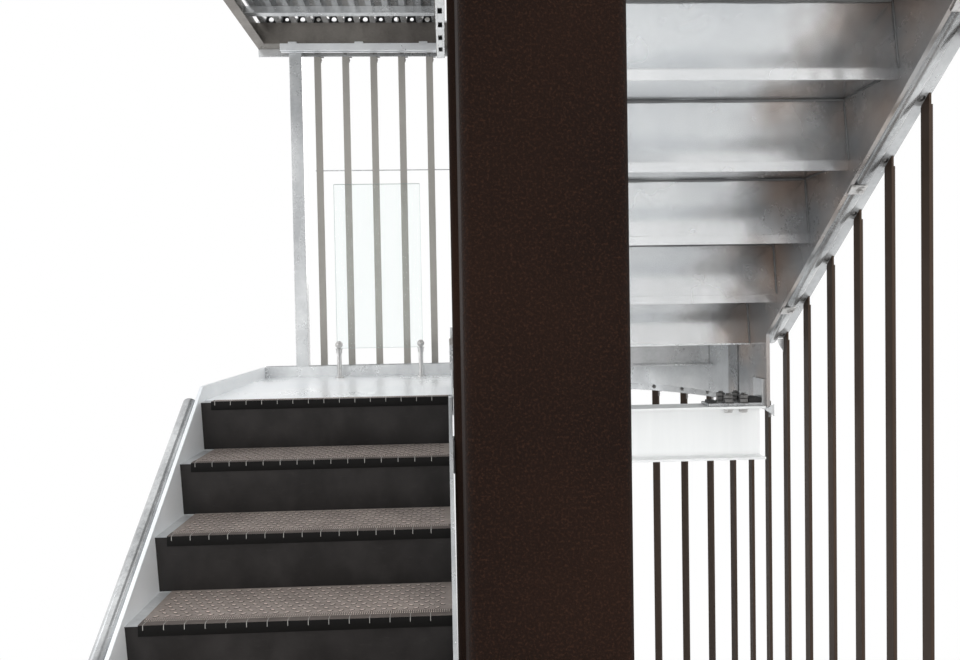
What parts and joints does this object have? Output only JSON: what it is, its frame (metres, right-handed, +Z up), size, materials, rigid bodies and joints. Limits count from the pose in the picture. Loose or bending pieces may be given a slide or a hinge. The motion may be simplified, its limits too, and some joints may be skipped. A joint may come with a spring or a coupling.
{
  "type": "fire escape stair",
  "caption": "Two-storey outdoor steel fire escape stair with folded steps, split half landings, two box columns in the well and a curved screen of upright fins.",
  "frame": {"origin": "middle of the overall plan, on the ground", "axes": "+Z up; +X away from the building wall towards the screened side; +Y the way the first flight climbs, towards the half landings"},
  "size_m": [2.5584, 4.882, 7.82],
  "materials": {
    "coated": "dark brown sand-textured coating on steel",
    "galvanised": "hot-dip galvanised steel",
    "cover": "moulded ribbed tread cover",
    "fin": "grey-brown coating on flat steel fins",
    "guard": "clear laminated panel",
    "fitting": "ground stainless fittings"
  },
  "bodies": {
    "root": {"near_column": "coated", "far_column": "coated", "base_plates": "coated", "back_left_post": "galvanised", "near_left_post": "galvanised", "wall_stringer_lower": "galvanised", "wall_stringer_upper": "galvanised", "left_well_stringers": "galvanised", "right_well_stringers": "galvanised", "outer_stringer_lower": "galvanised", "outer_stringer_upper": "galvanised", "stringer_tubes": "galvanised", "left_steps_lower": "galvanised", "left_steps_upper": "galvanised", "right_steps_lower": "galvanised", "right_steps_upper": "galvanised", "step_covers_lower": "cover", "step_covers_upper": "cover", "lower_quarter_decks": "galvanised", "upper_quarter_decks": "galvanised", "split_risers": "galvanised", "far_edge_plates": "galvanised", "near_edge_plates": "galvanised", "near_landing_decks": "galvanised", "gallery_deck": "galvanised", "gallery_channels": "galvanised", "deck_joists": "galvanised", "cantilever_beams": "galvanised", "beam_cleats": "galvanised", "landing_fin_rails": "galvanised", "sloping_fin_rails": "galvanised", "base_rail": "galvanised", "top_rail": "galvanised", "fin_tie_rods": "galvanised", "side_fins_lower": "fin", "side_fins_upper": "fin", "back_fins_lower": "fin", "back_fins_upper": "fin", "far_corner_fins_lower": "fin", "far_corner_fins_upper": "fin", "near_corner_fins": "fin", "near_fins": "fin", "guard_glass": "guard", "guard_spigots": "fitting"}
  },
  "joints": []
}
